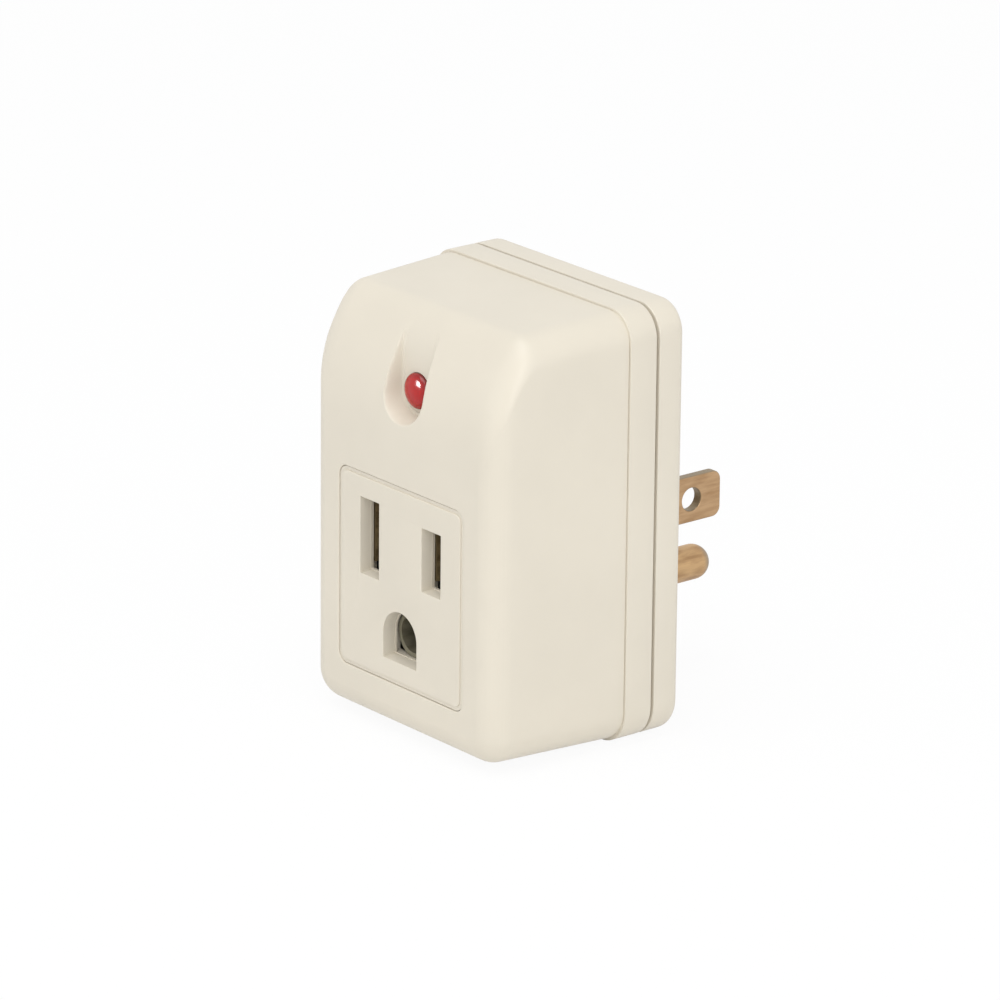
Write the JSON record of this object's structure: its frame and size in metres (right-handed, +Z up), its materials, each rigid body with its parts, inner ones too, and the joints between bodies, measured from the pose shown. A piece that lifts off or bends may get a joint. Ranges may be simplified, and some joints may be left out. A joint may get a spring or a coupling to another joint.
{
  "type": "appliance voltage protector",
  "caption": "Plug-in voltage protector: a moulded case with a grounded outlet in front, a grounded plug behind, an indicator light and a cut-off relay inside.",
  "frame": {"origin": "on the rear face that meets the wall, midway between the two flat blades", "axes": "+Z up, +Y into the wall along the blades, so the outlet faces -Y, +X to the right seen from the front"},
  "size_m": [0.0402, 0.0517, 0.0587],
  "materials": {
    "ivory_plastic": "satin moulded",
    "black_plastic": "moulded",
    "white_plastic": "moulded",
    "blue_plastic": "moulded",
    "yellow_plastic": "moulded box",
    "red_lens": "clear moulded",
    "plug_brass": "rolled, lightly worn",
    "contact_brass": "rolled strip",
    "zinc_steel": "zinc plated",
    "iron": "plated soft iron",
    "tinned_wire": "tinned",
    "copper_winding": "enamelled wire",
    "board_laminate": "phenolic laminate",
    "varistor_epoxy": "dipped epoxy",
    "capacitor_sleeve": "shrink sleeve",
    "component_black": "moulded epoxy",
    "resistor_beige": "lacquered",
    "wire_insulation": "soft vinyl"
  },
  "bodies": {
    "case": {"front_housing": "ivory_plastic", "rear_cover": "ivory_plastic", "cover_screws": "zinc_steel", "outlet_face": "ivory_plastic", "contact_carrier": "black_plastic", "hot_contact": "contact_brass", "neutral_contact": "contact_brass", "ground_contact": "contact_brass", "hot_blade": "plug_brass", "neutral_blade": "plug_brass", "ground_pin": "plug_brass", "neutral_link": "contact_brass", "ground_strap": "contact_brass", "circuit_board": "board_laminate", "indicator_led": "red_lens", "led_leads": "tinned_wire", "relay_base": "black_plastic", "relay_case": "blue_plastic", "relay_yoke": "iron", "relay_core": "iron", "coil_bobbin": "white_plastic", "coil_winding": "copper_winding", "coil_pins": "tinned_wire", "fixed_contact": "contact_brass", "return_spring": "contact_brass", "varistor": "varistor_epoxy", "film_capacitor": "yellow_plastic", "smoothing_capacitor": "capacitor_sleeve", "rectifier_diodes": "component_black", "resistors": "resistor_beige", "driver_transistor": "component_black", "control_chip": "component_black", "thermal_fuse": "white_plastic", "component_leads": "tinned_wire", "line_wire": "wire_insulation", "load_wire": "wire_insulation"},
    "armature": {"relay_armature": "iron", "contact_spring": "contact_brass"}
  },
  "joints": [
    {"name": "armature_hinge", "type": "hinge", "parent": "case", "child": "armature", "pos_m": [0.001, -0.0216, 0.0119], "axis": [0, 0, -1], "range_deg": [0, 3.5], "stiffness_Nm_per_rad": 0.01, "springref_deg": -5.73}
  ]
}
